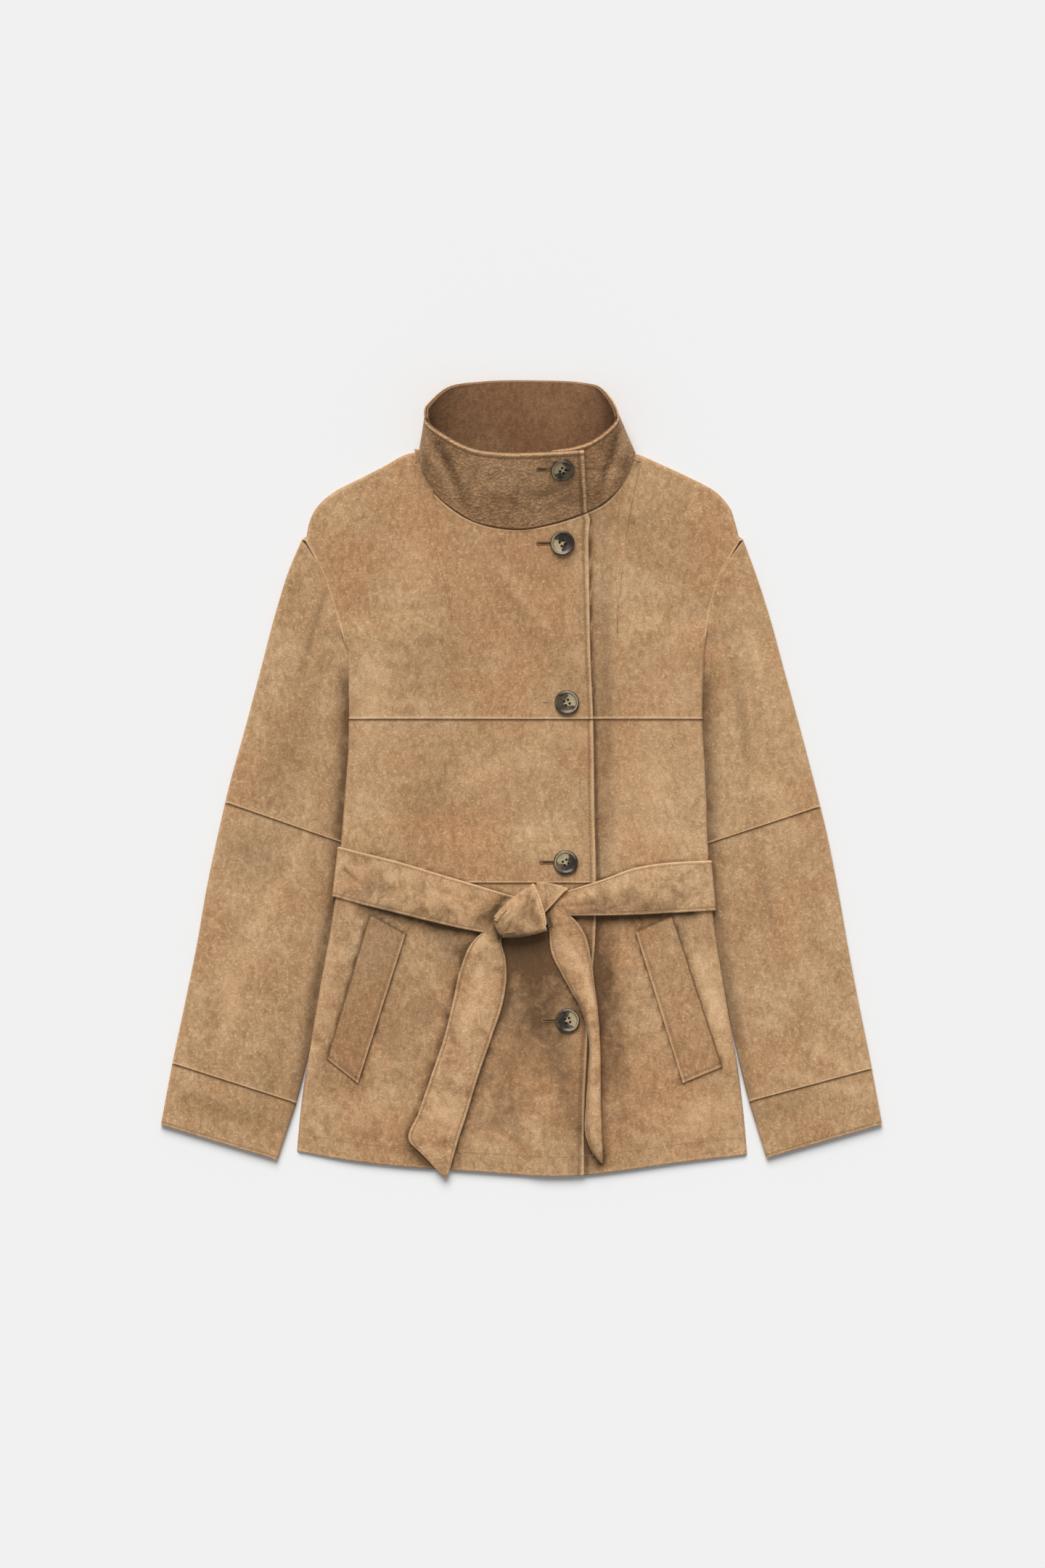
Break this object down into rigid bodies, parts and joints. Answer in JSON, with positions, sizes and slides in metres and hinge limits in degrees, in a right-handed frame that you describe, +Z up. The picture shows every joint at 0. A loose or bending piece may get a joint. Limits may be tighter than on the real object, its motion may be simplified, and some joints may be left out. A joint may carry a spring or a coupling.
{
  "type": "belted suede jacket",
  "caption": "Belted suede jacket laid flat, with a funnel collar held open, a buttoned lap, slanted pockets and a tied belt.",
  "frame": {"origin": "middle of the jacket's outline, on the surface it lies on", "axes": "+X to the wearer's left, +Y from hem to collar, +Z up from the surface"},
  "size_m": [0.7348, 0.8118, 0.0522],
  "materials": {
    "suede": "napped suede",
    "suede_inside": "napped suede",
    "horn": "polished marbled horn"
  },
  "bodies": {
    "root": {"back": "suede", "collar": "suede", "front_right_yoke": "suede", "front_right_middle": "suede", "front_right_skirt": "suede", "sleeve_right_upper": "suede", "sleeve_right_lower": "suede", "cuff_right": "suede", "pocket_welt_right": "suede", "front_left_yoke": "suede", "front_left_middle": "suede", "front_left_skirt": "suede", "sleeve_left_upper": "suede", "sleeve_left_lower": "suede", "cuff_left": "suede", "pocket_welt_left": "suede", "belt_band": "suede", "belt_knot": "suede", "belt_pass": "suede", "belt_tail_right": "suede", "belt_tail_left": "suede", "collar_facing": "suede_inside", "button_1": "horn", "button_2": "horn", "button_3": "horn", "button_4": "horn", "button_5": "horn"}
  },
  "joints": []
}
